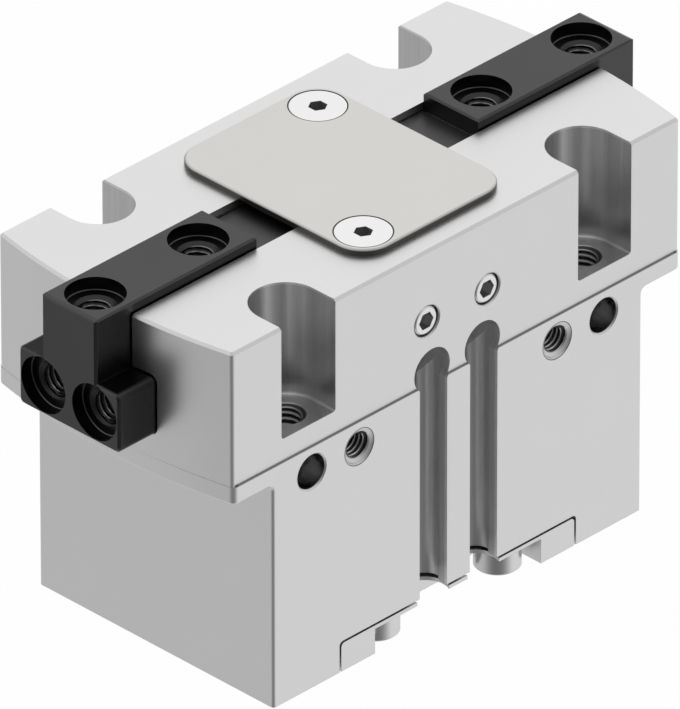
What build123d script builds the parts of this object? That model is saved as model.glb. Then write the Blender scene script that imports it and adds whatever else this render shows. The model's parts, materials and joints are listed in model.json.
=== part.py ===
from build123d import *
import os

os.makedirs("parts", exist_ok=True)

# A pneumatic parallel gripper with two T-slot guided jaws.
# A piston inside the housing pulls a wedge hook down. The hook's two sloping T-shaped
# flanks run in matching grooves of the jaws, so both jaws slide inwards together.
# Frame: X is the jaws' travel, -Y is the front with the sensor slots and air ports,
# Z is up, and the origin is the centre of the flat underside. Lengths are millimetres.
# The model shows the jaws fully open, which is the rest pose.

# Housing outline
HOUSING_HEIGHT = 62.2
FLANGE_LENGTH = 90.0
FLANGE_BULGE = 2.5
FLANGE_WIDTH = 46.5
FLANGE_CORNER = 0.6
LEDGE = 0.3
LEDGE_FILLET = 0.24
LEDGE_DROP = 22.1
FLANGE_DEPTH = 25.1
OVERHANG_CORNER = 1.0
OVERHANG_FILLET = 1.0
BODY_LENGTH = 74.6
BODY_CORNER = 0.5
EDGE_BREAK = 0.4
BODY_WIDTH = FLANGE_WIDTH + 2 * LEDGE
FRONT = BODY_WIDTH / 2
FLANGE_FRONT = FLANGE_WIDTH / 2
LEDGE_Z = HOUSING_HEIGHT - LEDGE_DROP
OVERHANG_Z = HOUSING_HEIGHT - FLANGE_DEPTH

# Jaws: a narrow web above a wide foot, with a raised bar outside the cover
JAW_TRAVEL = 6.5
JAW_OUTER_X = 54.3
JAW_BAR_LENGTH = 32.0
JAW_WEB_WIDTH = 10.9
JAW_FOOT_WIDTH = 20.1
JAW_FOOT_HEIGHT = 9.6
JAW_HEIGHT = 20.0
JAW_PROUD = 1.7
TONGUE_DROP = 3.0
JAW_FOOT_CORNER = 1.0
JAW_EDGE = 0.3
JAW_END_EDGE = 0.4
JAW_TOP_Z = HOUSING_HEIGHT + JAW_PROUD
JAW_BOTTOM_Z = JAW_TOP_Z - JAW_HEIGHT
JAW_FOOT_TOP_Z = JAW_BOTTOM_Z + JAW_FOOT_HEIGHT
TONGUE_Z = JAW_TOP_Z - TONGUE_DROP
JAW_INNER_X = JAW_OUTER_X - JAW_BAR_LENGTH

# Finger mounts on the jaws: centring counterbores above threaded holes
SLEEVE_RADIUS = 4.45
SLEEVE_DEPTH = 2.1
FINGER_THREAD_RADIUS = 2.55
FINGER_THREAD_DEPTH = 10.0
FINGER_HOLE_SPACING = 20.4
FINGER_HOLE_MARGIN = 5.4
END_HOLE_SPACING = 10.2
END_HOLE_DROP = 15.05
THREAD_CHAMFER = 0.45

# T-slot in the housing
SLOT_SIDE_GAP = 0.25
SLOT_FLOOR_GAP = 0.05
SLOT_CORNER = JAW_FOOT_CORNER + SLOT_SIDE_GAP
SLOT_FLOOR_Z = JAW_BOTTOM_Z - SLOT_FLOOR_GAP
SLOT_LIP_Z = JAW_FOOT_TOP_Z + SLOT_SIDE_GAP

# Notches for the mounting screws, open to the front and back
NOTCH_X = 29.86
NOTCH_INSET = 4.5
NOTCH_RADIUS = 5.38
NOTCH_DEPTH = 18.4
NOTCH_FILLET = 0.5
NOTCH_THREAD_RADIUS = 2.55
NOTCH_THREAD_DEPTH = 4.6
NOTCH_Y = FLANGE_FRONT - NOTCH_INSET
NOTCH_FLOOR_Z = HOUSING_HEIGHT - NOTCH_DEPTH

# Sensor slots up the front and back
SENSOR_X = 5.08
SENSOR_OPENING = 5.5
SENSOR_LIP = 1.7
SENSOR_DEPTH = 5.1
SENSOR_RADIUS = 3.56
SENSOR_BACK_CORNER = 2.4
SENSOR_ARCH_RISE = 1.9
SENSOR_ARCH_Z = LEDGE_Z + SENSOR_ARCH_RISE

# Air ports and locating holes in the front, and channel plugs in the front and back
PORT_X = 20.0
PORT_RADIUS = 2.15
PORT_RIM_RADIUS = 2.95
PORT_DEPTH = 8.0
PORT_DROP = 4.1
LOCATING_X = 29.5
LOCATING_RADIUS = 2.7
LOCATING_CHAMFER = 0.25
LOCATING_DEPTH = 4.5
DRILL_TIP = 1.2
DRILL_POINT_RADIUS = 0.2
PORT_Z = LEDGE_Z - PORT_DROP
PLUG_X = 6.1
PLUG_DROP = 11.65
PLUG_RADIUS = 2.45
PLUG_LENGTH = 5.0
PLUG_GAP = 0.05
PLUG_RIM = 0.15
PLUG_RECESS = 0.15
PLUG_HEX = 2.5
PLUG_HEX_DEPTH = 2.2
PLUG_Z = HOUSING_HEIGHT - PLUG_DROP

# Cylinder and the partition that carries the rod
BORE_RADIUS = 17.0
CHAMBER_GAP = 0.6
PARTITION = 7.0
ROD_RADIUS = 6.0
ROD_FIT = 0.04
BUSH_WALL = 1.6
BUSH_LENGTH = 4.0
SEAL_RADIAL = 3.0
SEAL_HEIGHT = 2.1
WASHER_HEIGHT = 0.8
WASHER_ROD_GAP = 0.5
PRESS_GAP = 0.03

# End cap across the underside
CAP_SPAN = 48.0
CAP_POCKET_HEIGHT = 5.05
CAP_GAP = 0.35
CAP_CORNER = 0.7
CAP_WEB = 0.6
CAP_BLOCK_X = 16.85
CAP_BLOCK_DEPTH = 7.0
CAP_FIT = 0.05
CAP_SCREW_X = 12.35
CAP_SCREW_INSET = 4.3
SPIGOT_HEIGHT = 4.1
RING_SECTION = 1.4
RING_GROOVE_WIDTH = 1.7
RING_SQUEEZE = 0.03
CAP_TOP_Z = CAP_POCKET_HEIGHT - CAP_GAP
CAP_SCREW_Y = FRONT - CAP_SCREW_INSET
CAP_WEB_Z = CAP_TOP_Z - CAP_WEB
SPIGOT_TOP_Z = CAP_TOP_Z + SPIGOT_HEIGHT

# Piston and its rings
BUMPER = 1.0
BUMPER_GAP = 0.1
BUMPER_RADIUS = 14.5
BUMPER_WIDTH = 4.5
PISTON_HEIGHT = 8.4
PISTON_FIT = 0.05
RING_DEPTH = 2.4
RING_HEIGHT = 2.2
RING_GAP = 0.04
RING_MARGIN = 1.2

# Wedge hook. Its stroke is the height that the housing leaves beside the fixed pieces.
WEDGE_TOP_GAP = 0.5
WEDGE_HEIGHT = 15.4
WEDGE_HEAD_TOP_X = 11.4
WEDGE_HEAD_THICK = 2.2
WEDGE_NECK_LENGTH = 2.2
WEDGE_HEAD_WIDTH = 7.2
WEDGE_NECK_WIDTH = 3.8
WEDGE_CORE_WIDTH = 10.4
WEDGE_FIT = 0.15
WEDGE_FACE_GAP = 0.3
WEDGE_TOP_Z = TONGUE_Z - WEDGE_TOP_GAP
WEDGE_BOTTOM_Z = WEDGE_TOP_Z - WEDGE_HEIGHT
FIXED_STACK = CHAMBER_GAP + PARTITION + PISTON_HEIGHT + 2 * (BUMPER + BUMPER_GAP)
WEDGE_STROKE = (WEDGE_BOTTOM_Z - SPIGOT_TOP_Z - FIXED_STACK) / 2
WEDGE_SLOPE = JAW_TRAVEL / WEDGE_STROKE
CHAMBER_FLOOR_Z = WEDGE_BOTTOM_Z - WEDGE_STROKE - CHAMBER_GAP
BORE_TOP_Z = CHAMBER_FLOOR_Z - PARTITION
PISTON_TOP_Z = BORE_TOP_Z - BUMPER - BUMPER_GAP
PISTON_BOTTOM_Z = PISTON_TOP_Z - PISTON_HEIGHT

# Socket head screws, with the hexagon given across its flats
M4 = {"shank": 1.95, "head": 3.5, "height": 4.0, "hex": 3.0}
M5 = {"shank": 2.45, "head": 4.25, "height": 5.0, "hex": 4.0}
CAP_SCREW_LENGTH = 10.0
DRIVE_SCREW_LENGTH = 11.0
WEDGE_SCREW_GRIP = 5.5
HOLE_GAP = 0.05
HEAD_GAP = 0.3
HEX_DEPTH_SHARE = 0.5
HEAD_EDGE = 0.25
TAP_SPARE = 1.0

# Cover plate over the middle of the T-slot
COVER_LENGTH = 29.8
COVER_INSET = 3.9
COVER_CORNER = 5.0
COVER_THICK = 1.1
COVER_EDGE = 0.3
COVER_HEAD_RADIUS = 4.25
COVER_SCREW_LENGTH = 8.0
COVER_HEX = 2.5
COVER_HEX_DEPTH = 1.6
COVER_WIDTH = FLANGE_WIDTH - 2 * COVER_INSET
COVER_SCREW_X = COVER_LENGTH / 2 - COVER_CORNER
COVER_SCREW_Y = COVER_WIDTH / 2 - COVER_CORNER
COVER_TOP_Z = HOUSING_HEIGHT + COVER_THICK

# Cuts reach this far past the faces that they open
PAST = 2.0

# Places closer than this count as the same one when edges are picked
NEAR = 0.01


def slab(sketch, low, high):
    """A sketch on the ground plane, raised between two heights."""
    return Pos(0, 0, low) * extrude(sketch, high - low)


def disc(radius, low, high, x=0.0, y=0.0):
    """An upright cylinder between two heights."""
    return Pos(x, y, low) * extrude(Circle(radius), high - low)


def ring(outer, inner, low, high):
    """An upright tube between two heights."""
    return slab(Circle(outer) - Circle(inner), low, high)


def block(x_low, x_high, y_low, y_high, z_low, z_high):
    """A box given by its six faces."""
    box = Box(x_high - x_low, y_high - y_low, z_high - z_low)
    return Pos((x_low + x_high) / 2, (y_low + y_high) / 2, (z_low + z_high) / 2) * box


def cone(low_radius, high_radius, low, high, x=0.0, y=0.0):
    """An upright cone frustum between two heights."""
    height = high - low
    return Pos(x, y, (low + high) / 2) * Cone(low_radius, high_radius, height)


def both_sides(solid):
    """A solid and its mirror image behind the middle plane."""
    return solid + mirror(solid, Plane.XZ)


def facing(side, x, z, solid):
    """Turns a solid modelled with its mouth at the origin, pointing up, to the front or back."""
    turn = 90 if side < 0 else -90
    return Pos(x, side * FRONT, z) * Rot(X=turn) * solid


def flange_outline(width, corner):
    """The plan of the flange: two straight sides and two ends that bow outwards."""
    x = FLANGE_LENGTH / 2
    y = width / 2
    outline = Line((-x, -y), (x, -y))
    outline += ThreePointArc((x, -y), (x + FLANGE_BULGE, 0), (x, y))
    outline += Line((x, y), (-x, y))
    outline += ThreePointArc((-x, y), (-x - FLANGE_BULGE, 0), (-x, -y))
    face = make_face(outline)
    return fillet(face.vertices(), corner)


def body_profile():
    """The front view of the lower housing: a body that widens into the flange with a fillet."""
    body = BODY_LENGTH / 2
    flange = FLANGE_LENGTH / 2 + FLANGE_BULGE + PAST
    points = [
        (-body, 0), (body, 0), (body, OVERHANG_Z), (flange, OVERHANG_Z),
        (flange, LEDGE_Z), (-flange, LEDGE_Z), (-flange, OVERHANG_Z), (-body, OVERHANG_Z),
    ]
    face = make_face(Polyline(*points, close=True))
    under = [v for v in face.vertices() if abs(v.Y - OVERHANG_Z) < NEAR]
    inner = [v for v in under if abs(abs(v.X) - body) < NEAR]
    return fillet(inner, OVERHANG_FILLET)


def housing_blank():
    """The outer block: a bowed flange that overhangs a plain body at both ends."""
    upper = slab(flange_outline(FLANGE_WIDTH, FLANGE_CORNER), LEDGE_Z, HOUSING_HEIGHT)
    upper = chamfer(upper.faces().sort_by(Axis.Z)[-1].edges(), EDGE_BREAK)
    lower = extrude(Plane.XZ * body_profile(), FRONT, both=True)
    lower = lower & slab(flange_outline(BODY_WIDTH, OVERHANG_CORNER), -PAST, LEDGE_Z)
    corners = [
        edge
        for edge in lower.edges().filter_by(Axis.Z)
        if abs(abs(edge.center().X) - BODY_LENGTH / 2) < NEAR and edge.center().Z < OVERHANG_Z
    ]
    lower = fillet(corners, BODY_CORNER)
    return upper + lower + both_sides(ledge_fillet())


def ledge_fillet():
    """The small concave fillet where the front of the flange meets the ledge below it."""
    radius = LEDGE_FILLET
    half = FLANGE_LENGTH / 2 - OVERHANG_CORNER
    front = -FLANGE_FRONT - radius
    strip = block(-half, half, front, -FLANGE_FRONT + LEDGE, LEDGE_Z - LEDGE, LEDGE_Z + radius)
    round_cut = Rot(Y=90) * Cylinder(radius, 2 * half + PAST)
    return strip - Pos(0, front, LEDGE_Z + radius) * round_cut


def jaw_slot():
    """The T-slot, cut along the whole flange."""
    web = JAW_WEB_WIDTH / 2 + SLOT_SIDE_GAP
    foot = JAW_FOOT_WIDTH / 2 + SLOT_SIDE_GAP
    reach = JAW_OUTER_X + PAST
    wide = block(-reach, reach, -foot, foot, SLOT_FLOOR_Z, SLOT_LIP_Z)
    wide = fillet(wide.edges().filter_by(Axis.X), SLOT_CORNER)
    return wide + block(-reach, reach, -web, web, SLOT_LIP_Z, HOUSING_HEIGHT + PAST)


def notch(x):
    """One mounting notch at the front: a round-ended pocket with a threaded hole in its floor."""
    top = HOUSING_HEIGHT + PAST
    outside = -FRONT - PAST
    pocket = disc(NOTCH_RADIUS, NOTCH_FLOOR_Z, top, x, -NOTCH_Y)
    pocket += block(x - NOTCH_RADIUS, x + NOTCH_RADIUS, outside, -NOTCH_Y, NOTCH_FLOOR_Z, top)
    floor_edges = [
        edge
        for edge in pocket.faces().sort_by(Axis.Z)[0].edges()
        if edge.center().Y > outside + NEAR
    ]
    pocket = fillet(floor_edges, NOTCH_FILLET)
    bottom = NOTCH_FLOOR_Z - NOTCH_THREAD_DEPTH
    hole = disc(NOTCH_THREAD_RADIUS, bottom, NOTCH_FLOOR_Z + PAST, x, -NOTCH_Y)
    rim = cone(
        NOTCH_THREAD_RADIUS,
        NOTCH_THREAD_RADIUS + THREAD_CHAMFER,
        NOTCH_FLOOR_Z - THREAD_CHAMFER,
        NOTCH_FLOOR_Z,
        x,
        -NOTCH_Y,
    )
    return pocket + hole + rim


def sensor_slot(x):
    """One sensor slot at the front: a C-shaped channel that ends in a round plunge."""
    half = SENSOR_OPENING / 2
    lip_y = -FRONT + SENSOR_LIP
    back_y = -FRONT + SENSOR_DEPTH
    lip = block(x - half, x + half, -FRONT - PAST, lip_y, -PAST, SENSOR_ARCH_Z)
    channel = block(x - SENSOR_RADIUS, x + SENSOR_RADIUS, lip_y, back_y, -PAST, SENSOR_ARCH_Z)
    back_edges = channel.faces().sort_by(Axis.Y)[-1].edges().filter_by(Axis.Z)
    channel = fillet(back_edges, SENSOR_BACK_CORNER)
    plunge = Rot(X=90) * extrude(Circle(SENSOR_RADIUS), SENSOR_DEPTH + PAST)
    plunge = Pos(x, back_y, SENSOR_ARCH_Z) * plunge
    return lip + channel + plunge


def drilled(radius, rim_radius, depth):
    """A drilled hole with its mouth at the origin, running down, with a chamfered rim."""
    chamfer_depth = rim_radius - radius
    hole = disc(radius, -depth, PAST)
    rim = cone(radius, rim_radius, -chamfer_depth, 0)
    return hole + rim + cone(DRILL_POINT_RADIUS, radius, -depth - DRILL_TIP, -depth)


def hexagon(across_flats, low, high):
    """An upright hexagonal prism between two heights."""
    return slab(RegularPolygon(across_flats / 2, 6, major_radius=False), low, high)


def cap_screw(size, length):
    """A socket head screw, head down at the origin and shank pointing up."""
    height = size["height"]
    body = disc(size["head"], 0, height)
    body = chamfer(body.edges().sort_by(Axis.Z)[0], HEAD_EDGE)
    body = body + disc(size["shank"], height, height + length)
    return body - hexagon(size["hex"], -PAST, height * HEX_DEPTH_SHARE)


def cap_screw_places():
    """The four end cap screws, front pair first."""
    return [(x, y) for y in (-CAP_SCREW_Y, CAP_SCREW_Y) for x in (-CAP_SCREW_X, CAP_SCREW_X)]


def plug_places():
    """The four channel plugs: side, then place along X."""
    return [(side, x) for side in (-1, 1) for x in (-PLUG_X, PLUG_X)]


def cover_screw_places():
    """The two cover screws, in opposite corners."""
    return [(-COVER_SCREW_X, -COVER_SCREW_Y), (COVER_SCREW_X, COVER_SCREW_Y)]


def countersink(radius, spare):
    """A countersunk cone and shank below the cover's top face, at the origin's axis."""
    shank = M4["shank"]
    head = cone(shank, radius, COVER_TOP_Z - (radius - shank), COVER_TOP_Z)
    return head + disc(shank + spare, COVER_TOP_Z - COVER_SCREW_LENGTH - spare, COVER_TOP_Z)


def housing():
    """The one-piece housing with every pocket, bore and hole."""
    part = housing_blank() - jaw_slot()
    wedge_x = wedge_head_x(WEDGE_BOTTOM_Z) + CHAMBER_GAP
    wedge_y = max(WEDGE_CORE_WIDTH / 2, ROD_RADIUS) + CHAMBER_GAP
    part -= block(-wedge_x, wedge_x, -wedge_y, wedge_y, CHAMBER_FLOOR_Z, SLOT_FLOOR_Z + PAST)
    part -= disc(BORE_RADIUS, -PAST, BORE_TOP_Z)
    part -= disc(ROD_RADIUS + BUSH_WALL + PRESS_GAP, BORE_TOP_Z - PAST, CHAMBER_FLOOR_Z + PAST)
    seal_top = CHAMBER_FLOOR_Z - BUSH_LENGTH
    part -= disc(ROD_RADIUS + SEAL_RADIAL + PRESS_GAP, BORE_TOP_Z - PAST, seal_top)
    half = CAP_SPAN / 2
    cap_room = block(-half, half, -FRONT - PAST, FRONT + PAST, -PAST, CAP_POCKET_HEIGHT)
    top_edges = cap_room.faces().sort_by(Axis.Z)[-1].edges().filter_by(Axis.Y)
    part -= fillet(top_edges, CAP_CORNER)
    part -= both_sides(notch(NOTCH_X) + notch(-NOTCH_X))
    part -= both_sides(sensor_slot(SENSOR_X) + sensor_slot(-SENSOR_X))
    port = drilled(PORT_RADIUS, PORT_RIM_RADIUS, PORT_DEPTH)
    locating = drilled(LOCATING_RADIUS, LOCATING_RADIUS + LOCATING_CHAMFER, LOCATING_DEPTH)
    for across in (-1, 1):
        part -= facing(-1, across * PORT_X, PORT_Z, port)
        part -= facing(-1, across * LOCATING_X, PORT_Z, locating)
    plug_hole = PLUG_RADIUS + PLUG_GAP
    plug_seat = drilled(plug_hole, plug_hole + PLUG_RIM, PLUG_RECESS + PLUG_LENGTH + TAP_SPARE)
    for side, x in plug_places():
        part -= facing(side, x, PLUG_Z, Pos(0, 0, -LEDGE) * plug_seat)
    shank = M4["shank"] + HOLE_GAP
    tap_top = CAP_WEB_Z + CAP_SCREW_LENGTH + TAP_SPARE
    for x, y in cap_screw_places():
        part -= disc(shank, CAP_POCKET_HEIGHT - PAST, tap_top, x, y)
    for x, y in cover_screw_places():
        part -= Pos(x, y, 0) * countersink(COVER_HEAD_RADIUS + HOLE_GAP, HOLE_GAP)
    return part


def end_cap():
    """The plate across the underside, with its spigot, relieved around the screws."""
    half = CAP_SPAN / 2 - CAP_GAP
    plate = block(-half, half, -FRONT, FRONT, 0, CAP_TOP_Z)
    top_edges = plate.faces().sort_by(Axis.Z)[-1].edges().filter_by(Axis.Y)
    plate = fillet(top_edges, CAP_CORNER)
    head = CAP_BLOCK_X - CAP_SCREW_X
    top = CAP_TOP_Z + PAST
    relief = block(-CAP_BLOCK_X, CAP_BLOCK_X, -FRONT - PAST, -CAP_SCREW_Y, -PAST, CAP_WEB_Z)
    depth = -FRONT + CAP_BLOCK_DEPTH
    relief += block(-CAP_SCREW_X, CAP_SCREW_X, -CAP_SCREW_Y, depth, -PAST, CAP_WEB_Z)
    for x in (-CAP_SCREW_X, CAP_SCREW_X):
        relief += disc(head, -PAST, CAP_WEB_Z, x, -CAP_SCREW_Y)
        relief += disc(M4["shank"] + HOLE_GAP, -PAST, top, x, -CAP_SCREW_Y)
    mouth = SENSOR_OPENING / 2
    centre_y = -FRONT + SENSOR_DEPTH - SENSOR_RADIUS
    for x in (-SENSOR_X, SENSOR_X):
        relief += disc(SENSOR_RADIUS, -PAST, top, x, centre_y)
        relief += block(x - mouth, x + mouth, -FRONT - PAST, centre_y, -PAST, top)
    plate -= both_sides(relief)
    spigot = disc(BORE_RADIUS - CAP_FIT, CAP_TOP_Z / 2, SPIGOT_TOP_Z)
    groove_low = cap_ring_z() - RING_GROOVE_WIDTH / 2
    groove_high = groove_low + RING_GROOVE_WIDTH
    groove = ring(BORE_RADIUS + PAST, cap_ring_groove_radius(), groove_low, groove_high)
    return plate + (spigot - groove)


def cap_ring_z():
    """The height of the end cap's sealing ring."""
    return (CAP_POCKET_HEIGHT + SPIGOT_TOP_Z) / 2


def cap_ring_groove_radius():
    """The floor of the groove that holds the end cap's sealing ring."""
    return BORE_RADIUS - RING_SECTION - 2 * RING_SQUEEZE


def cap_ring():
    """The end cap's sealing ring."""
    section = RING_SECTION / 2
    return Pos(0, 0, cap_ring_z()) * Torus(BORE_RADIUS - RING_SQUEEZE - section, section)


def wedge_head_x(z):
    """How far the hook's flank stands from the middle at a height, in the rest pose."""
    return WEDGE_HEAD_TOP_X + (WEDGE_TOP_Z - z) * WEDGE_SLOPE


def slope_strip(inner, outer, low, high, width):
    """A sloping bar that follows the hook's flank, between two offsets inward from it."""
    points = [
        (wedge_head_x(low) - outer, low),
        (wedge_head_x(low) - inner, low),
        (wedge_head_x(high) - inner, high),
        (wedge_head_x(high) - outer, high),
    ]
    face = Plane.XZ * make_face(Polyline(*points, close=True))
    return extrude(face, width / 2, both=True)


def wedge_hook():
    """The wedge hook: a sloping core with a T-shaped flank at each side."""
    low = WEDGE_BOTTOM_Z
    high = WEDGE_TOP_Z
    neck = WEDGE_HEAD_THICK + WEDGE_NECK_LENGTH
    points = [
        (wedge_head_x(low) - neck, low),
        (wedge_head_x(high) - neck, high),
        (neck - wedge_head_x(high), high),
        (neck - wedge_head_x(low), low),
    ]
    side = Plane.XZ * make_face(Polyline(*points, close=True))
    core = extrude(side, WEDGE_CORE_WIDTH / 2, both=True)
    flank = slope_strip(0, WEDGE_HEAD_THICK, low, high, WEDGE_HEAD_WIDTH)
    flank += slope_strip(WEDGE_HEAD_THICK, neck, low, high, WEDGE_NECK_WIDTH)
    hook = core + flank + mirror(flank, Plane.YZ)
    hook -= disc(M5["head"] + HEAD_GAP, high - M5["height"] - HEAD_GAP, high + PAST)
    hook -= disc(M5["shank"] + HOLE_GAP, low - PAST, high + PAST)
    return hook


def jaw_section(top):
    """The jaw's cross-section: a web on a wide foot, up to a given height."""
    web = JAW_WEB_WIDTH / 2
    foot = JAW_FOOT_WIDTH / 2
    points = [
        (-foot, JAW_BOTTOM_Z), (foot, JAW_BOTTOM_Z), (foot, JAW_FOOT_TOP_Z), (web, JAW_FOOT_TOP_Z),
        (web, top), (-web, top), (-web, JAW_FOOT_TOP_Z), (-foot, JAW_FOOT_TOP_Z),
    ]
    face = make_face(Polyline(*points, close=True))
    corners = [v for v in face.vertices() if abs(abs(v.X) - foot) < NEAR]
    return fillet(corners, JAW_FOOT_CORNER)


def jaw():
    """The right-hand jaw: a T-shaped slide with a raised bar and a hooked inner end."""
    bar_section = jaw_section(JAW_TOP_Z)
    bar = Pos(JAW_INNER_X, 0, 0) * extrude(Plane.YZ * bar_section, JAW_BAR_LENGTH)
    bar = chamfer(bar.faces().sort_by(Axis.X)[-1].edges(), JAW_END_EDGE)
    bar = chamfer(bar.faces().sort_by(Axis.Z)[-1].edges(), JAW_EDGE)
    tongue = extrude(Plane.YZ * jaw_section(TONGUE_Z), JAW_INNER_X + JAW_EDGE)
    neck = WEDGE_HEAD_THICK + WEDGE_NECK_LENGTH - WEDGE_FACE_GAP
    low = JAW_BOTTOM_Z - PAST
    high = TONGUE_Z + PAST
    far = JAW_FOOT_WIDTH + PAST
    tongue -= slope_strip(neck, WEDGE_HEAD_TOP_X + far, low, high, far)
    part = bar + tongue
    head_wide = WEDGE_HEAD_WIDTH + 2 * WEDGE_FIT
    neck_wide = WEDGE_NECK_WIDTH + 2 * WEDGE_FIT
    room = slope_strip(-WEDGE_FIT, WEDGE_HEAD_THICK + WEDGE_FIT, low, TONGUE_Z, head_wide)
    room += slope_strip(WEDGE_HEAD_THICK, neck + PAST, low, TONGUE_Z, neck_wide)
    part -= room
    for place in (0, 1):
        x = JAW_OUTER_X - FINGER_HOLE_MARGIN - place * FINGER_HOLE_SPACING
        part -= Pos(x, 0, JAW_TOP_Z) * finger_hole()
    for y in (-END_HOLE_SPACING / 2, END_HOLE_SPACING / 2):
        part -= Pos(JAW_OUTER_X, y, JAW_TOP_Z - END_HOLE_DROP) * Rot(Y=90) * finger_hole()
    return part


def finger_hole():
    """A finger mount with its mouth at the origin, running down: sleeve seat, then thread."""
    radius = FINGER_THREAD_RADIUS
    floor = -SLEEVE_DEPTH
    seat = disc(SLEEVE_RADIUS, floor, PAST)
    rim = cone(radius, radius + THREAD_CHAMFER, floor - THREAD_CHAMFER, floor)
    return seat + rim + disc(radius, floor - FINGER_THREAD_DEPTH, floor)


def cover_plate():
    """The thin plate over the middle of the slot, with two countersunk holes."""
    outline = RectangleRounded(COVER_LENGTH, COVER_WIDTH, COVER_CORNER)
    plate = slab(outline, HOUSING_HEIGHT, COVER_TOP_Z)
    plate = chamfer(plate.faces().sort_by(Axis.Z)[-1].edges(), COVER_EDGE)
    for x, y in cover_screw_places():
        plate -= Pos(x, y, 0) * countersink(COVER_HEAD_RADIUS + HOLE_GAP, HOLE_GAP)
    return plate


def cover_screw():
    """A countersunk screw whose head is flush with the cover."""
    screw = countersink(COVER_HEAD_RADIUS, 0.0)
    return screw - hexagon(COVER_HEX, COVER_TOP_Z - COVER_HEX_DEPTH, COVER_TOP_Z + PAST)


def channel_plug():
    """A set screw that closes an air channel, with its driven end at the origin."""
    plug = disc(PLUG_RADIUS, -PLUG_LENGTH, 0)
    return plug - hexagon(PLUG_HEX, -PLUG_HEX_DEPTH, PAST)


def piston():
    """The piston, with two ring grooves and a screw recess underneath."""
    part = disc(BORE_RADIUS - PISTON_FIT, PISTON_BOTTOM_Z, PISTON_TOP_Z)
    for low in (seal_ring_z(), magnet_ring_z()):
        part -= ring(BORE_RADIUS + PAST, BORE_RADIUS - RING_DEPTH, low, low + RING_HEIGHT)
    seat = PISTON_BOTTOM_Z + M5["height"] + HEAD_GAP
    part -= disc(M5["head"] + HEAD_GAP, PISTON_BOTTOM_Z - PAST, seat)
    part -= disc(M5["shank"] + HOLE_GAP, PISTON_BOTTOM_Z, PISTON_TOP_Z + PAST)
    return part


def seal_ring_z():
    """The foot of the piston's seal groove."""
    return PISTON_TOP_Z - RING_MARGIN - RING_HEIGHT


def magnet_ring_z():
    """The foot of the groove that holds the sensors' magnet."""
    return PISTON_BOTTOM_Z + RING_MARGIN


def piston_ring(low):
    """A ring that fills one of the piston's grooves."""
    inner = BORE_RADIUS - RING_DEPTH + RING_GAP
    return ring(BORE_RADIUS - RING_GAP, inner, low + RING_GAP, low + RING_HEIGHT - RING_GAP)


def piston_rod():
    """The rod between piston and hook, tapped at both ends."""
    rod = disc(ROD_RADIUS, PISTON_TOP_Z, WEDGE_BOTTOM_Z)
    hole = M5["shank"] + HOLE_GAP
    lower_end = PISTON_BOTTOM_Z + M5["height"] + HEAD_GAP + DRIVE_SCREW_LENGTH + TAP_SPARE
    upper_end = WEDGE_TOP_Z - M5["height"] - HEAD_GAP - wedge_screw_length() - TAP_SPARE
    rod -= disc(hole, PISTON_TOP_Z - PAST, lower_end)
    rod -= disc(hole, upper_end, WEDGE_BOTTOM_Z + PAST)
    return rod


def wedge_screw_length():
    """The length of the screw that holds the hook to the rod."""
    return WEDGE_HEIGHT - M5["height"] - HEAD_GAP + WEDGE_SCREW_GRIP


def write(name, solid):
    """Writes one named piece."""
    export_step(solid, os.path.join("parts", name + ".step"))


def write_housing_group():
    """Everything that stays still."""
    write("housing", housing())
    write("end_cap", end_cap())
    write("cap_ring", cap_ring())
    for number, (x, y) in enumerate(cap_screw_places(), 1):
        screw = Pos(x, y, CAP_WEB_Z - M4["height"]) * cap_screw(M4, CAP_SCREW_LENGTH)
        write(f"cap_screw_{number}", screw)
    write("cover_plate", cover_plate())
    for number, (x, y) in enumerate(cover_screw_places(), 1):
        write(f"cover_screw_{number}", Pos(x, y, 0) * cover_screw())
    for number, (side, x) in enumerate(plug_places(), 1):
        seated = Pos(0, 0, -LEDGE - PLUG_RECESS) * channel_plug()
        write(f"channel_plug_{number}", facing(side, x, PLUG_Z, seated))
    seal_top = CHAMBER_FLOOR_Z - BUSH_LENGTH
    seal_low = seal_top - SEAL_HEIGHT
    seal_radius = ROD_RADIUS + SEAL_RADIAL
    write("rod_bush", ring(ROD_RADIUS + BUSH_WALL, ROD_RADIUS + ROD_FIT, seal_top, CHAMBER_FLOOR_Z))
    write("rod_seal", ring(seal_radius, ROD_RADIUS + ROD_FIT, seal_low, seal_top))
    washer_hole = ROD_RADIUS + WASHER_ROD_GAP
    write("seal_washer", ring(seal_radius, washer_hole, seal_low - WASHER_HEIGHT, seal_low))
    hole = BUMPER_RADIUS - BUMPER_WIDTH
    write("upper_bumper", ring(BUMPER_RADIUS, hole, BORE_TOP_Z - BUMPER, BORE_TOP_Z))
    write("lower_bumper", ring(BUMPER_RADIUS, hole, SPIGOT_TOP_Z, SPIGOT_TOP_Z + BUMPER))


def write_piston_group():
    """Everything that rises and falls with the piston."""
    write("piston", piston())
    write("piston_seal", piston_ring(seal_ring_z()))
    write("magnet_ring", piston_ring(magnet_ring_z()))
    write("piston_rod", piston_rod())
    screw = cap_screw(M5, DRIVE_SCREW_LENGTH)
    write("piston_screw", Pos(0, 0, PISTON_BOTTOM_Z + HEAD_GAP) * screw)
    write("wedge_hook", wedge_hook())
    turned = Rot(X=180) * cap_screw(M5, wedge_screw_length())
    write("wedge_screw", Pos(0, 0, WEDGE_TOP_Z - HEAD_GAP) * turned)


def write_jaws():
    """The two jaws, alike and turned half round from each other."""
    right = jaw()
    write("jaw_right", right)
    write("jaw_left", Rot(Z=180) * right)


write_housing_group()
write_piston_group()
write_jaws()
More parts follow.
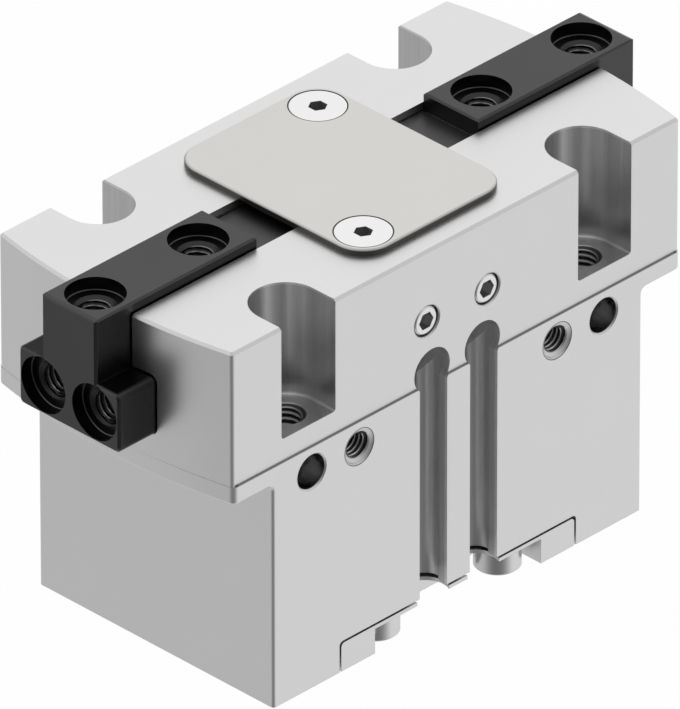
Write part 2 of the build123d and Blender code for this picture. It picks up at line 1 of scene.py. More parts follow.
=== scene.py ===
# %% [markdown]
# # Dressing a parallel gripper
# The solids of this gripper come ready packed: a satin aluminium housing, two black jaws that
# slide in its T-slot, and the drive inside. They could be built again here, but then two sets
# of sizes could drift apart, so this script keeps every solid where it is. It adds what the
# solids leave out: surface finishes, screw threads, detailed small screws, light and a camera.

# %% Load the packed solids
import json
import math

import bpy
from mathutils import Matrix, Vector


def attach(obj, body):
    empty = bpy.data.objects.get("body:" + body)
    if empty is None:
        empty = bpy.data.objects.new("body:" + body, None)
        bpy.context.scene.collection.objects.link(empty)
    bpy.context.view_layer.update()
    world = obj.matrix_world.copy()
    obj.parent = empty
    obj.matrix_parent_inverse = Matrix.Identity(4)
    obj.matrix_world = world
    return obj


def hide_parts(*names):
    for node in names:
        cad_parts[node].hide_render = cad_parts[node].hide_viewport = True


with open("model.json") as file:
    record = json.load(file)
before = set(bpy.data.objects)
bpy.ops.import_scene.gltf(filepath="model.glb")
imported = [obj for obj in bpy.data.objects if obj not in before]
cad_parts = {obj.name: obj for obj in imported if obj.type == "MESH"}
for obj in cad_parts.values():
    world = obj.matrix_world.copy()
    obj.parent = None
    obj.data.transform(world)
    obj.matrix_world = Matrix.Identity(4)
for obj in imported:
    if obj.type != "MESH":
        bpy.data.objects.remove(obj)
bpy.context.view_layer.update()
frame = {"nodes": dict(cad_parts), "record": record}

# %% [markdown]
# ## Sizes
# Blender works in metres and machine parts are drawn in millimetres. A factor called MM keeps
# the numbers below readable, since each is then the size that a drawing of the gripper shows.

# %% Sizes of the housing, its notches, slots and holes
MM = 0.001
HOUSING_TOP = 62.2
FRONT_FACE = 23.55
FLANGE_FACE = 23.25
FLANGE_END = 44.6
LEDGE = 40.1
NOTCH_PLACE = (29.86, 18.75)
NOTCH_FLOOR = 43.8
SLOT_PLACE = 5.1
SLOT_BACK = 18.3
SLOT_TOP = 45.7
PORT_PLACE = (20.0, 36.0)
PORT_RADIUS = 2.15
PORT_RIM = 2.95
LOCATING_X = 29.5
FRONT_HOLE_END = 12.0
THREAD_RADIUS = 2.55
THREAD_RIM = 3.0
RIDGE = 0.34
print("housing:", HOUSING_TOP, "high,", 2 * FRONT_FACE, "deep")

# %% Sizes of the jaws, the cover and the small screws
JAW_END = 54.3
JAW_TOP = 63.9
JAW_HALF_WIDTH = 5.45
JAW_FOOT_TOP = 53.5
JAW_TONGUE_END = 22.1
JAW_TONGUE_TOP = 60.9
FINGER_HOLES = (48.9, 28.5)
END_HOLES = (5.1, 48.85)
SEAT_RADIUS = 4.45
SEAT_DEPTH = 2.1
PLUG_PLACE = (6.1, 50.55)
PLUG_FACE = 23.1
COVER_SCREW_PLACE = (9.9, 14.35)
COVER_TOP = 63.3
HEXAGON_FLATS = 2.5
HEXAGON_CORNER = HEXAGON_FLATS / math.sqrt(3)
HIDE = 0.02
print("open jaws:", 2 * JAW_END, "long,", JAW_TOP, "high")

# %% [markdown]
# ## Shader arithmetic
# A finish is a formula: a tone plus a little grain, and another tone along the edges. Wiring
# that by hand takes a node for each sign. The class below wraps a socket and overloads the
# operators, so a finish can be written as the formula that it is, and each sign adds its own
# Math node.

# %% A socket that can be added, subtracted and multiplied
class Signal:
    """The value of a socket, for use in expressions."""

    def __init__(self, sheet, socket):
        self.sheet = sheet
        self.socket = socket

    def out(self, name):
        return Signal(self.sheet, self.socket.node.outputs[name])

    def math(self, operation, first, second):
        return self.sheet.node("ShaderNodeMath", {"operation": operation}, {0: first, 1: second})

    def __add__(self, other):
        return self.math("ADD", self, other)

    def __radd__(self, other):
        return self.math("ADD", other, self)

    def __sub__(self, other):
        return self.math("SUBTRACT", self, other)

    def __rsub__(self, other):
        return self.math("SUBTRACT", other, self)

    def __mul__(self, other):
        return self.math("MULTIPLY", self, other)

    def __rmul__(self, other):
        return self.math("MULTIPLY", other, self)

    def size(self):
        return self.math("ABSOLUTE", self, 0.0)

    def sign(self):
        return self.math("SIGN", self, 0.0)

    def root(self):
        return self.math("SQRT", self, 0.0)

    def step(self, low, high):
        """A smooth rise from 0 at low to 1 at high."""
        settings = {"interpolation_type": "SMOOTHSTEP"}
        return self.sheet.node(
            "ShaderNodeMapRange", settings, {"Value": self, "From Min": low, "From Max": high}
        )

    def below(self, low, high):
        """A smooth fall from 1 at low to 0 at high."""
        return 1 - self.step(low, high)

    def within(self, low, high, blur=0.04):
        """1 between two values and 0 outside them, with soft borders."""
        return self.step(low - blur, low + blur) * self.below(high - blur, high + blur)

    def near(self, middle, reach):
        """1 as far as reach from a middle value and 0 beyond it."""
        return self.within(middle - reach, middle + reach)


print("a signal has:", [name for name in vars(Signal) if not name.startswith("__")])


# %% A sheet of nodes with one way to add any other node
class Sheet:
    """The nodes of one material or of the world."""

    def __init__(self, owner):
        owner.use_nodes = True
        self.tree = owner.node_tree
        self.tree.nodes.clear()

    def node(self, kind, settings=None, inputs=None, output=0):
        made = self.tree.nodes.new(kind)
        for key, value in (settings or {}).items():
            setattr(made, key, value)
        for key, value in (inputs or {}).items():
            if isinstance(value, Signal):
                self.tree.links.new(value.socket, made.inputs[key])
            else:
                made.inputs[key].default_value = value
        return Signal(self, made.outputs[output] if made.outputs else None)

    def mix(self, factor, first, second):
        """A colour between two others. Sockets 6, 7 and the output 2 are the colour ones."""
        inputs = {0: factor, 6: first, 7: second}
        return self.node("ShaderNodeMix", {"data_type": "RGBA"}, inputs, output=2)

    def place(self, stretch=(1.0, 1.0, 1.0)):
        """The point on the piece in millimetres, stretched so that a pattern becomes streaks."""
        where = self.node("ShaderNodeTexCoord").out("Object")
        scale = tuple(part / MM for part in stretch)
        return self.node("ShaderNodeVectorMath", {"operation": "MULTIPLY"}, {0: where, 1: scale})

    def noise(self, scale, stretch=(1.0, 1.0, 1.0), detail=3.0):
        """Grey noise from 0 to 1 with a number of blotches per millimetre."""
        inputs = {"Vector": self.place(stretch), "Scale": scale, "Detail": detail}
        return self.node("ShaderNodeTexNoise", {}, inputs)


def grey(level, tint=(1.0, 1.0, 1.0)):
    """A colour from one level and a slight tint."""
    return tuple(level * part for part in tint) + (1.0,)


print("middle grey:", grey(0.5))

# %% [markdown]
# ## Metal finishes
# Nearly everything here is metal, and what tells one metal from another is the size and
# direction of its grain and how wide its reflections spread. One function makes them all.
# The Bevel node rounds the normal near an edge, and its difference from the plain normal marks
# that edge. There the anodised housing gets fine dark lines of painted shade and the black jaws
# lighter lines of painted highlight, without a single loop of mesh along the edges.

# %% One function for every metal
CLOUD_SCALE = 0.12
EDGE_BAND = (0.025, 0.12)
GRAIN_SPREAD = 0.12
EDGE_POLISH = 0.05


def metal(name, level, roughness, grain=8.0, stretch=(1.0, 1.0, 1.0), tint=(1.0, 1.0, 1.0),
          metallic=1.0, mottle=0.02, relief=0.0008, painted_edge_light=0.10, painted_edge_level=0.95,
          rounding=0.12, shades=()):
    material = bpy.data.materials.new(name)
    sheet = Sheet(material)
    fine = sheet.noise(grain, stretch)
    cloud = sheet.noise(CLOUD_SCALE, detail=2.0)
    soft = sheet.node("ShaderNodeBevel", {"samples": 6}, {"Radius": rounding * MM})
    plain = sheet.node("ShaderNodeNewGeometry").out("Normal")
    along = sheet.node("ShaderNodeVectorMath", {"operation": "DOT_PRODUCT"}, {0: soft, 1: plain})
    edge = (1 - along.out("Value")).step(*EDGE_BAND)
    tone = (cloud + fine) * 0.5
    surface = sheet.mix(tone, grey(level * (1 - mottle), tint), grey(level * (1 + mottle), tint))
    smooth = roughness + (fine - 0.5) * GRAIN_SPREAD - edge * EDGE_POLISH
    for where, shade_level, shade_roughness in shades:
        mask = where(sheet)
        surface = sheet.mix(mask, surface, grey(shade_level, tint))
        smooth = smooth * (1 - mask) + mask * shade_roughness
    # The edges get painted light: with a low edge level it is painted shade, with a high one a
    # painted highlight.
    painted_edges = sheet.mix(edge * painted_edge_light, surface, grey(painted_edge_level, tint))
    raised = sheet.node("ShaderNodeBump", {}, {
        "Strength": 1.0, "Distance": relief * MM, "Height": fine, "Normal": soft,
    })
    shader = sheet.node("ShaderNodeBsdfPrincipled", {}, {
        "Base Color": painted_edges,
        "Metallic": metallic,
        "Roughness": smooth,
        "Normal": raised,
    })
    sheet.node("ShaderNodeOutputMaterial", {}, {"Surface": shader})
    print("finish:", name)
    return material


# %% [markdown]
# ## Surfaces within a piece
# One piece can carry several surfaces: the housing is blasted outside, but its notches, slots
# and holes were cut, and cut walls are smoother. Their darker tone here is painted shade. Those
# places could get materials of their own, face by face. A mask made from the place on the piece
# does the same without touching the solid: it is 1 inside a box or a ring and 0 elsewhere.

# %% Two measures that the masks share
def axes(sheet):
    """The three parts of the place, in millimetres."""
    split = sheet.node("ShaderNodeSeparateXYZ", {}, {0: sheet.place()})
    return (split.out(name) for name in "XYZ")


def distance(first, second, place):
    """The distance from an axis, across two parts of the place."""
    aside = first - place[0]
    away = second - place[1]
    return (aside * aside + away * away).root()


print("notch to port, across:", round(NOTCH_PLACE[0] - PORT_PLACE[0], 2))


# %% Cut surfaces of the housing, with painted shade
def milled_wall_shade(sheet):
    """The walls of the notches and the sensor slots: painted shade, with streaks along the cut."""
    x, y, z = axes(sheet)
    away = y.size()
    notch = (
        x.size().near(NOTCH_PLACE[0], 5.55)
        * away.within(13.2, FLANGE_FACE - 0.08)
        * z.within(NOTCH_FLOOR - 0.4, HOUSING_TOP - 0.35)
    )
    slot = (
        x.size().near(SLOT_PLACE, 3.7)
        * away.within(SLOT_BACK, FLANGE_FACE - 0.15)
        * z.within(-1.0, SLOT_TOP)
    )
    streaks = sheet.noise(1.2, (1.0, 1.0, 0.03)).step(0.45, 0.70)
    return (notch + slot) * (1 - streaks * 0.30)


def port_wall_shade(sheet):
    """The walls of the air ports, painted darker as shade."""
    x, y, z = axes(sheet)
    beside = x.size().near(PORT_PLACE[0], 3.0) * z.near(PORT_PLACE[1], 3.0)
    return beside * y.within(-FRONT_FACE + 0.1, -FRONT_HOLE_END)


def mounting_wall_shade(sheet):
    """The walls of the mounting holes, painted darker as shade."""
    x, y, z = axes(sheet)
    beside = x.size().near(NOTCH_PLACE[0], 3.4) * y.size().near(NOTCH_PLACE[1], 3.75)
    return beside * z.within(NOTCH_FLOOR - 4.8, NOTCH_FLOOR - 0.08)


def reamed_wall_shade(sheet):
    """The walls of the locating holes, painted darker as shade."""
    x, y, z = axes(sheet)
    beside = x.size().near(LOCATING_X, 2.9) * z.near(PORT_PLACE[1], 2.8)
    return beside * y.within(-FRONT_FACE + 0.2, -FRONT_HOLE_END)


def thread_root_shade(sheet):
    """Painted shade in the housing's thread roots and in thin lines round the air ports' rims."""
    x, y, z = axes(sheet)
    port = distance(x.size(), z, PORT_PLACE)
    mounting = distance(x.size(), y.size(), NOTCH_PLACE)
    return (
        port.within(1.90, 2.5) * y.within(-FRONT_FACE + 0.6, -FRONT_HOLE_END)
        + port.within(PORT_RIM - 0.07, PORT_RIM + 0.05, 0.03) * y.near(-FRONT_FACE, 0.2)
        + mounting.within(2.38, 2.85) * z.within(NOTCH_FLOOR - 4.8, NOTCH_FLOOR - 0.08)
    )


def flange_corner_shade(sheet):
    """Painted shade in the narrow corner between the flange and the ledge below it."""
    x, y, z = axes(sheet)
    height = z.within(LEDGE - 0.02, LEDGE + 0.2, 0.08)
    face = y.size().within(FLANGE_FACE - 0.05, FRONT_FACE + 0.05)
    return height * face * x.size().below(FLANGE_END - 0.04, FLANGE_END + 0.04)


# Each mask below paints shade: a darker tone in recesses, thread roots, rims and corners.
housing_shades = (
    (milled_wall_shade, 0.62, 0.34),
    (port_wall_shade, 0.70, 0.25),
    (mounting_wall_shade, 0.34, 0.30),
    (thread_root_shade, 0.07, 0.4),
    (reamed_wall_shade, 0.42, 0.20),
    (flange_corner_shade, 0.22, 0.5),
)
print("housing surfaces:", [mask.__name__ for mask, *_ in housing_shades])

# %% Surfaces of the jaws
def from_finger_holes(sheet):
    """How far a point is from the nearest finger hole's axis, on the top and on the end."""
    x, y, z = axes(sheet)
    middle = sum(FINGER_HOLES) / 2
    nearer = (x.size() - middle).size()
    top = distance(nearer, y, (FINGER_HOLES[0] - middle, 0.0))
    return top, distance(y.size(), z, END_HOLES)


def finger_seat_shade(sheet):
    """The sleeve seats and holes of the jaws, painted deep black as the shade inside them."""
    x, y, z = axes(sheet)
    wall = (SEAT_RADIUS + 0.02, SEAT_RADIUS + 0.08)
    top, end = (part.below(*wall) for part in from_finger_holes(sheet))
    return top * z.within(50.0, JAW_TOP - 0.1) + end * x.size().within(40.0, JAW_END - 0.1)


def finger_ring(sheet):
    """The crests of their threads and the corners of their seats, which catch the light."""
    x, y, z = axes(sheet)
    top, end = from_finger_holes(sheet)
    top_floor = JAW_TOP - SEAT_DEPTH
    end_floor = JAW_END - SEAT_DEPTH
    corner = (SEAT_RADIUS - 0.12, SEAT_RADIUS + 0.03)
    crest = (THREAD_RADIUS - RIDGE, THREAD_RADIUS - RIDGE + 0.12)
    return (
        top.below(*crest) * z.within(50.0, top_floor)
        + end.below(*crest) * x.size().within(40.0, end_floor)
        + top.within(*corner) * z.near(top_floor, 0.1)
        + end.within(*corner) * x.size().near(end_floor, 0.1)
    )


def foot_top(sheet):
    """The shelf on top of a jaw's foot, which lies in the shade of the jaw."""
    x, y, z = axes(sheet)
    return z.within(JAW_FOOT_TOP - 0.12, JAW_FOOT_TOP + 0.1) * y.size().within(5.4, 9.75)


def jaw_flank_shade(sheet):
    """The long sides of a jaw above the housing, painted darker as shade."""
    x, y, z = axes(sheet)
    side = y.size().near(JAW_HALF_WIDTH, 0.15) * z.within(HOUSING_TOP - 0.3, JAW_TOP - 0.35)
    return side * x.size().below(46.5, 47.5)


def tongue_painted_light(sheet):
    """The low inner part of a jaw, which slides below the cover: rougher, with painted light on it.
    """
    x, y, z = axes(sheet)
    inner = x.size().below(JAW_TONGUE_END, JAW_TONGUE_END + 0.1)
    return inner * z.below(JAW_TONGUE_TOP + 0.1, JAW_TONGUE_TOP + 0.3)


# Painted light lightens the tongue; painted shade darkens the flanks, the foot tops and the seats.
jaw_shades = (
    (tongue_painted_light, 0.11, 0.42),
    (jaw_flank_shade, 0.035, 0.30),
    (foot_top, 0.030, 0.30),
    (finger_seat_shade, 0.045, 0.30),
    (finger_ring, 0.34, 0.30),
)
print("jaw surfaces:", [mask.__name__ for mask, *_ in jaw_shades])


# %% Surfaces of the cover and the small screws
def cover_side_shade(sheet):
    """The sheared edge of the cover, painted dark as shade."""
    x, y, z = axes(sheet)
    return z.below(COVER_TOP - 0.35, COVER_TOP - 0.1)


def from_cover_screw(sheet):
    """The distance from the axis of the nearer cover screw."""
    x, y, z = axes(sheet)
    side = x.sign()
    return distance(x * side, y * side, COVER_SCREW_PLACE)


def screw_seat_shade(sheet):
    """Painted shade in the gap round the head of a cover screw."""
    return from_cover_screw(sheet).within(4.17, 4.38)


def screw_socket_shade(sheet):
    """The hexagon socket of a cover screw, painted darker as shade."""
    x, y, z = axes(sheet)
    inside = from_cover_screw(sheet).below(HEXAGON_CORNER, HEXAGON_CORNER + 0.06)
    return inside * z.below(COVER_TOP - 0.06, COVER_TOP - 0.01)


def from_plug(sheet):
    """The distance from the axis of the nearer plug."""
    x, y, z = axes(sheet)
    return distance(x.size(), z, PLUG_PLACE)


def plug_rim_shade(sheet):
    """Painted shade in the gap round a plug."""
    return from_plug(sheet).step(2.15, 2.3)


def plug_socket_shade(sheet):
    """The hexagon socket of a plug, painted darker as shade."""
    x, y, z = axes(sheet)
    inside = from_plug(sheet).below(HEXAGON_CORNER, HEXAGON_CORNER + 0.06)
    return inside * y.size().below(PLUG_FACE - 0.06, PLUG_FACE - 0.01)


# Painted shade on the cover's side, in the gaps round the screw heads and plugs, and in their
# sockets.
cover_shades = ((cover_side_shade, 0.10, 0.4), (screw_seat_shade, 0.06, 0.5))
screw_shades = ((screw_seat_shade, 0.06, 0.5), (screw_socket_shade, 0.34, 0.6))
plug_shades = ((plug_rim_shade, 0.12, 0.4), (plug_socket_shade, 0.60, 0.4))
print("surfaces of a cover screw:", [mask.__name__ for mask, *_ in screw_shades])

# %% [markdown]
# ## The finishes of this gripper
# The housing is blasted and anodised, so its grain is fine and the same in every direction.
# The cover is a sheet that was brushed along its length, which a noise stretched one way
# gives. The jaws are blackened steel: mostly a plain dark coat with a slight sheen. Plain
# colours would do from far off, but the grain is what makes a close look believable.

# %% Make a finish for each material slot of the record
# The edges are painted too: dark lines of painted shade on the housing and its cap, lighter lines
# of painted highlight on the jaws and most other parts.
finishes = {
    "housing_anodised": metal(
        "satin_anodised", 0.84, 0.36, grain=9.0, relief=0.0010,
        painted_edge_light=0.9, painted_edge_level=0.16, rounding=0.07, shades=housing_shades,
    ),
    "cap_anodised": metal(
        "satin_anodised_cap", 0.84, 0.36, grain=9.0, relief=0.0010,
        painted_edge_light=0.9, painted_edge_level=0.16, rounding=0.07,
    ),
    "cover_steel": metal(
        "brushed_cover", 0.74, 0.34, grain=3.0, stretch=(0.08, 3.0, 1.0),
        tint=(1.0, 0.99, 0.965), mottle=0.05, painted_edge_light=0.0, shades=cover_shades,
    ),
    "jaw_black": metal(
        "blackened_steel", 0.082, 0.30, grain=7.0, mottle=0.10,
        painted_edge_light=0.5, painted_edge_level=0.42, rounding=0.05, shades=jaw_shades,
    ),
    "screw_steel": metal("zinc_screw", 0.80, 0.24, grain=6.0),
    "cover_screw_steel": metal(
        "bright_screw", 0.98, 0.15, grain=6.0, mottle=0.01, painted_edge_light=0.0, shades=screw_shades,
    ),
    "plug_steel": metal(
        "bright_plug", 0.95, 0.30, grain=6.0, mottle=0.01, painted_edge_light=0.0, shades=plug_shades,
    ),
    "plain_steel": metal("plain_steel", 0.60, 0.30, grain=5.0),
    "wedge_steel": metal("ground_wedge", 0.40, 0.25, grain=4.0, stretch=(1.0, 0.1, 2.0)),
    "rod_chrome": metal("hard_chrome", 0.88, 0.12, grain=6.0, relief=0.0003),
    "piston_aluminium": metal("turned_aluminium", 0.80, 0.28, grain=3.0, stretch=(0.1, 0.1, 5.0)),
    "bush_bronze": metal("sintered_bronze", 0.62, 0.38, grain=8.0, tint=(1.0, 0.74, 0.40)),
    "magnet_plastic": metal("bonded_magnet", 0.05, 0.55, grain=9.0, metallic=0.0),
    "seal_rubber": metal("seal_rubber", 0.025, 0.60, grain=6.0, metallic=0.0),
    "bumper_rubber": metal("bumper_rubber", 0.05, 0.65, grain=5.0, metallic=0.0),
}

# %% Give each solid its finish
for row in frame["record"]["subparts"]:
    mesh = frame["nodes"][row["node"]].data
    mesh.materials.clear()
    mesh.materials.append(finishes[row["material_slot"]])

# %% [markdown]
# ## A tool for turned pieces
# Threads, set screws and countersunk heads are all turned: each is a stack of rings around
# one axis. A ring whose radius depends on the angle gives the rest, since six flats make a
# hexagon socket and a ridge that climbs with the angle makes a thread. Writing the mesh ring
# by ring keeps it closed and evenly faced, which cutting shapes out of each other doesn't.

# %% Build a mesh from a stack of rings
SIDES = 72
SHARP_ANGLE = math.radians(24)


def turned(name, rings, finish, hollow=False):
    """Rings are pairs of radius and height in millimetres. A radius may be a function of angle."""
    points = []
    for radius, height in rings:
        for step in range(SIDES):
            angle = math.tau * step / SIDES
            reach = radius(angle) if callable(radius) else radius
            points.append((reach * math.cos(angle) * MM, reach * math.sin(angle) * MM, height * MM))
    faces = []
    count = len(rings)
    for ring in range(count if hollow else count - 1):
        low = ring * SIDES
        high = (ring + 1) % count * SIDES
        for step in range(SIDES):
            after = (step + 1) % SIDES
            faces.append((low + step, low + after, high + after, high + step))
    if not hollow:
        faces.append(tuple(reversed(range(SIDES))))
        faces.append(tuple(range((count - 1) * SIDES, count * SIDES)))
    mesh = bpy.data.meshes.new(name)
    mesh.from_pydata(points, [], faces)
    mesh.shade_smooth()
    mesh.set_sharp_from_angle(angle=SHARP_ANGLE)
    mesh.materials.append(finish)
    piece = bpy.data.objects.new(name, mesh)
    bpy.context.scene.collection.objects.link(piece)
    return piece


def seat(piece, point, axis, body):
    """Puts a turned piece in place: its mouth at a point, facing along an axis, on a body."""
    turn = Vector((0, 0, 1)).rotation_difference(Vector(axis)).to_matrix().to_4x4()
    piece.data.transform(Matrix.Translation(Vector(point) * MM) @ turn)
    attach(piece, body)
    return piece


print("sides of a turned piece:", SIDES)

# %% [markdown]
# ## Screw threads
# A tapped hole shows ridges that climb round its wall. A bump texture could fake them from
# far off, but a close look down a hole needs real ridges that hide each other. Each thread
# here is a thin sleeve that lines its hole, and its inner wall carries the ridge.

# %% The rings of a thread
ROWS_PER_TURN = 12


def thread_rings(radius, rim, pitch, length):
    """The mouth is a cone from the rim down to the radius of the hole."""
    rings = []
    rows = round(length / pitch * ROWS_PER_TURN)
    for row in range(rows + 1):
        depth = length * row / rows
        fade = min(1.0, 3 * depth / pitch, (length - depth) / pitch)
        base = max(radius, rim - depth)

        def wall(angle, depth=depth, fade=fade, base=base):
            turn = (depth / pitch + angle / math.tau) % 1.0
            slope = 1 - abs(2 * turn - 1)
            height = min(1.0, max(0.0, slope * 1.5 - 0.25))
            return base - 2 * HIDE - RIDGE * height * fade

        rings.append((wall, -depth))
    rings.append((radius - HIDE, -length))
    rings.append((radius - HIDE, radius - rim))
    rings.append((rim - HIDE, 0.0))
    return rings


def thread(name, point, axis, body, slot, radius, rim, pitch, length):
    """Lines a hole: its mouth at a point, open along an axis."""
    rings = thread_rings(radius, rim, pitch, length)
    piece = turned(name, rings, finishes[slot], hollow=True)
    return seat(piece, point, axis, body)


print("rings of a thread, each turn:", ROWS_PER_TURN)

# %% Line the mounting holes and the air ports
for across in (-1, 1):
    for along in (-1, 1):
        side = "left" if across < 0 else "right"
        end = "front" if along < 0 else "back"
        thread(
            f"mounting_thread_{end}_{side}",
            (across * NOTCH_PLACE[0], along * NOTCH_PLACE[1], NOTCH_FLOOR - HIDE),
            (0, 0, 1), "housing_body", "housing_anodised",
            THREAD_RADIUS, THREAD_RIM, pitch=1.0, length=4.5,
        )
    thread(
        f"port_thread_{side}",
        (across * PORT_PLACE[0], -FRONT_FACE + HIDE, PORT_PLACE[1]),
        (0, -1, 0), "housing_body", "housing_anodised",
        PORT_RADIUS, PORT_RIM, pitch=0.8, length=7.5,
    )

# %% Line the finger holes of both jaws
for across, side in ((-1, "left"), (1, "right")):
    deep = SEAT_DEPTH + HIDE
    for number, reach in enumerate(FINGER_HOLES, 1):
        thread(
            f"jaw_{side}_top_thread_{number}",
            (across * reach, 0, JAW_TOP - deep),
            (0, 0, 1), f"{side}_jaw", "jaw_black",
            THREAD_RADIUS, THREAD_RIM, pitch=1.0, length=9.0,
        )
    for number, away in enumerate((-END_HOLES[0], END_HOLES[0]), 1):
        thread(
            f"jaw_{side}_end_thread_{number}",
            (across * (JAW_END - deep), away, END_HOLES[1]),
            (across, 0, 0), f"{side}_jaw", "jaw_black",
            THREAD_RADIUS, THREAD_RIM, pitch=1.0, length=9.0,
        )

# %% [markdown]
# ## Small screws
# The cover's countersunk screws and the set screws that plug the air channels are the
# brightest small things on the gripper, so each is built again with its hexagon socket, the
# drilled cone at its foot and the rounded rim of its head. They take the place of the plain
# solids and keep their sizes.

# %% A hexagon as a radius that depends on the angle
def hexagon(turn):
    """Two of its corners lie at the angle called turn and opposite it."""
    def radius(angle):
        return HEXAGON_FLATS / 2 / math.cos((angle - turn) % (math.pi / 3) - math.pi / 6)

    return radius


def socket_rings(turn, depth):
    """The rings of a hexagon socket, from its sharp mouth down to its drilled foot."""
    return [
        (HEXAGON_CORNER + 0.12, 0.0), (hexagon(turn), 0.0), (hexagon(turn), -depth + 0.02),
        (HEXAGON_FLATS * 0.42, -depth), (0.05, -depth - 0.45),
    ]


print("hexagon corner to corner:", round(2 * HEXAGON_CORNER, 2))

# %% Replace the cover screws
HEAD_PROFILE = [
    (1.95, -8.0), (1.95, -2.35), (4.25, -0.14), (4.18, -0.04), (4.08, 0.0), (4.0, 0.0),
]
for number, sign in ((1, -1), (2, 1)):
    rings = HEAD_PROFILE + socket_rings(math.pi / 6, 1.6)
    screw = turned(f"countersunk_screw_{number}", rings, finishes["cover_screw_steel"])
    place = (sign * COVER_SCREW_PLACE[0], sign * COVER_SCREW_PLACE[1], COVER_TOP)
    seat(screw, place, (0, 0, 1), "housing_body")
    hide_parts(f"cover_screw_{number}")
print("cover screws:", number)

# %% Replace the channel plugs
PLUG_PROFILE = [
    (2.1, -5.0), (2.43, -4.7), (2.43, -0.42), (2.0, -0.03), (1.9, 0.0), (1.84, 0.0),
]
number = 0
for facing in (-1, 1):
    for across in (-1, 1):
        number += 1
        rings = PLUG_PROFILE + socket_rings(0.0, 2.2)
        plug = turned(f"set_screw_{number}", rings, finishes["plug_steel"])
        place = (across * PLUG_PLACE[0], facing * PLUG_FACE, PLUG_PLACE[1])
        seat(plug, place, (0, facing, 0), "housing_body")
        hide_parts(f"channel_plug_{number}")
print("plugs:", number)

# %% [markdown]
# ## Floor and light
# The gripper stands on a pale floor in a white studio. Satin metal shows the room more than
# the lamps, so the room matters most: it is white above and at the sides and falls off to
# grey where the photographer would stand, which is what draws the dark line down each corner
# that faces the camera. Lamps alone would leave the flat faces without that gradient.

# %% The room
CAMERA_SIDE = (-0.710, -0.704)
CAMERA_RIGHT = (0.704, -0.710)
AMBIENT = 0.55

world = bpy.data.worlds.new("studio")
bpy.context.scene.world = world
world.cycles.sampling_method = "NONE"
room = Sheet(world)
ray = room.node("ShaderNodeLightPath")
looks = room.node("ShaderNodeSeparateXYZ", {}, {0: room.node("ShaderNodeTexCoord")})
east, north, up = (looks.out(name) for name in "XYZ")
near = east * CAMERA_SIDE[0] + north * CAMERA_SIDE[1]
right = east * CAMERA_RIGHT[0] + north * CAMERA_RIGHT[1]
low = 0.82 + right * 0.17
high = 1.09 - right.size().step(0.35, 0.85) * 0.32 - up.step(0.6, 1.0) * 0.30
walls = low + (high - low) * up.step(-0.15, 0.35)
reflected = walls * (1 - near.step(0.15, 0.95) * 0.80)
mirrored = ray.out("Is Glossy Ray") + ray.out("Is Transmission Ray")
seen = ray.out("Is Camera Ray")
ambient = (1 - seen - mirrored) * AMBIENT
sky = room.node("ShaderNodeBackground", {}, {"Strength": seen + mirrored * reflected + ambient})
room.node("ShaderNodeOutputWorld", {}, {"Surface": sky})
print("room:", len(room.tree.nodes), "nodes")

# %% The floor
HALF = 12.0
DROP = 0.0002
SHADE_LEFT_OUT = 0.985

corners = [(-HALF, -HALF, 0), (HALF, -HALF, 0), (HALF, HALF, 0), (-HALF, HALF, 0)]
floor_mesh = bpy.data.meshes.new("floor")
floor_mesh.from_pydata(corners, [], [(0, 1, 2, 3)])
floor = bpy.data.objects.new("floor", floor_mesh)
floor.location.z = -DROP
bpy.context.scene.collection.objects.link(floor)

paint = bpy.data.materials.new("pale_floor")
sheet = Sheet(paint)
path = sheet.node("ShaderNodeLightPath")
mirrored = path.out("Is Glossy Ray") + path.out("Is Transmission Ray")
matt = sheet.node("ShaderNodeBsdfDiffuse", {}, {"Color": grey(0.8)})
white = sheet.node("ShaderNodeEmission", {}, {"Color": grey(1.0), "Strength": 1.0})
clear = sheet.node("ShaderNodeBsdfTransparent")
seen = path.out("Is Camera Ray") * SHADE_LEFT_OUT
shown = sheet.node("ShaderNodeMixShader", {}, {0: seen, 1: matt, 2: white})
ground = sheet.node("ShaderNodeMixShader", {}, {0: mirrored, 1: shown, 2: clear})
sheet.node("ShaderNodeOutputMaterial", {}, {"Surface": ground})
floor_mesh.materials.append(paint)
print("floor:", 2 * HALF, "metres wide")


# %% The lamps
MIDDLE = Vector((0, 0, 0.03))


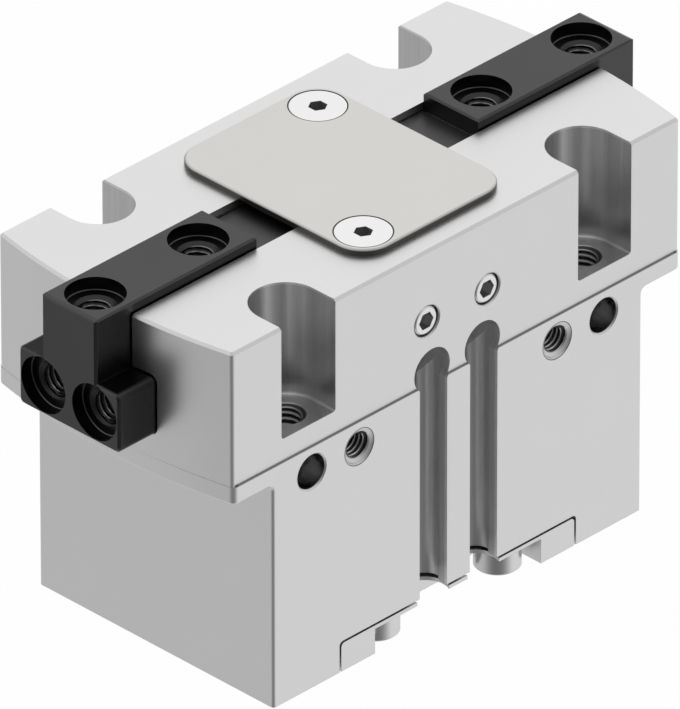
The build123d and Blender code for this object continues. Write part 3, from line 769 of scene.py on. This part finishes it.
def lamp(name, place, size, power):
    """A square soft lamp that points at the gripper."""
    light = bpy.data.lights.new(name, "AREA")
    light.size = size
    light.energy = power
    holder = bpy.data.objects.new(name, light)
    holder.location = place
    aim = MIDDLE - Vector(place)
    holder.rotation_mode = "QUATERNION"
    holder.rotation_quaternion = aim.to_track_quat("-Z", "Y")
    bpy.context.scene.collection.objects.link(holder)


lamp("top_lamp", (0.1, 0.2, 1.2), 1.6, 1.6)
lamp("right_lamp", (1.1, 0.3, 0.2), 1.0, 0.5)
lamp("left_lamp", (-0.9, 0.6, 0.5), 1.2, 0.5)
bpy.context.scene.view_settings.view_transform = "Standard"
print("lamps:", [light.name for light in bpy.data.lights])

# %% [markdown]
# ## Camera
# The photograph was taken from far off with a long lens, so lines that are parallel on the
# gripper stay nearly parallel. The angle, the distance and the lens below were found from the
# corners of the housing and the jaws. A nearer camera with a shorter lens would show the same
# front corner, and every far corner would shrink.

# %% Place the camera
AZIMUTH = math.radians(-45.2374)
ELEVATION = math.radians(31.7546)
ROLL = math.radians(-0.047)
DISTANCE = 3497.9
ASIDE = (0.0852, -1.0737)
PIVOT = Vector((0, 0, 31.0))
FOCAL_PIXELS = 24571.0
IMAGE_HEIGHT = 709

ahead = Vector((
    -math.sin(AZIMUTH) * math.cos(ELEVATION),
    math.cos(AZIMUTH) * math.cos(ELEVATION),
    -math.sin(ELEVATION),
))
rightward = Vector((math.cos(AZIMUTH), math.sin(AZIMUTH), 0))
upward = rightward.cross(ahead)
eye = PIVOT - ahead * DISTANCE - rightward * ASIDE[0] - upward * ASIDE[1]
lens = bpy.data.cameras.new("camera")
lens.sensor_width = 36.0
lens.lens = FOCAL_PIXELS / IMAGE_HEIGHT * lens.sensor_width
lens.clip_start = 0.1
lens.clip_end = 50.0
camera = bpy.data.objects.new("camera", lens)
facing = Matrix((rightward, upward, -ahead)).transposed().to_4x4()
camera.matrix_world = Matrix.Translation(eye * MM) @ facing @ Matrix.Rotation(ROLL, 4, "Z")
bpy.context.scene.collection.objects.link(camera)
bpy.context.scene.camera = camera
print("camera at", [round(part, 3) for part in camera.matrix_world.translation])

# %% [markdown]
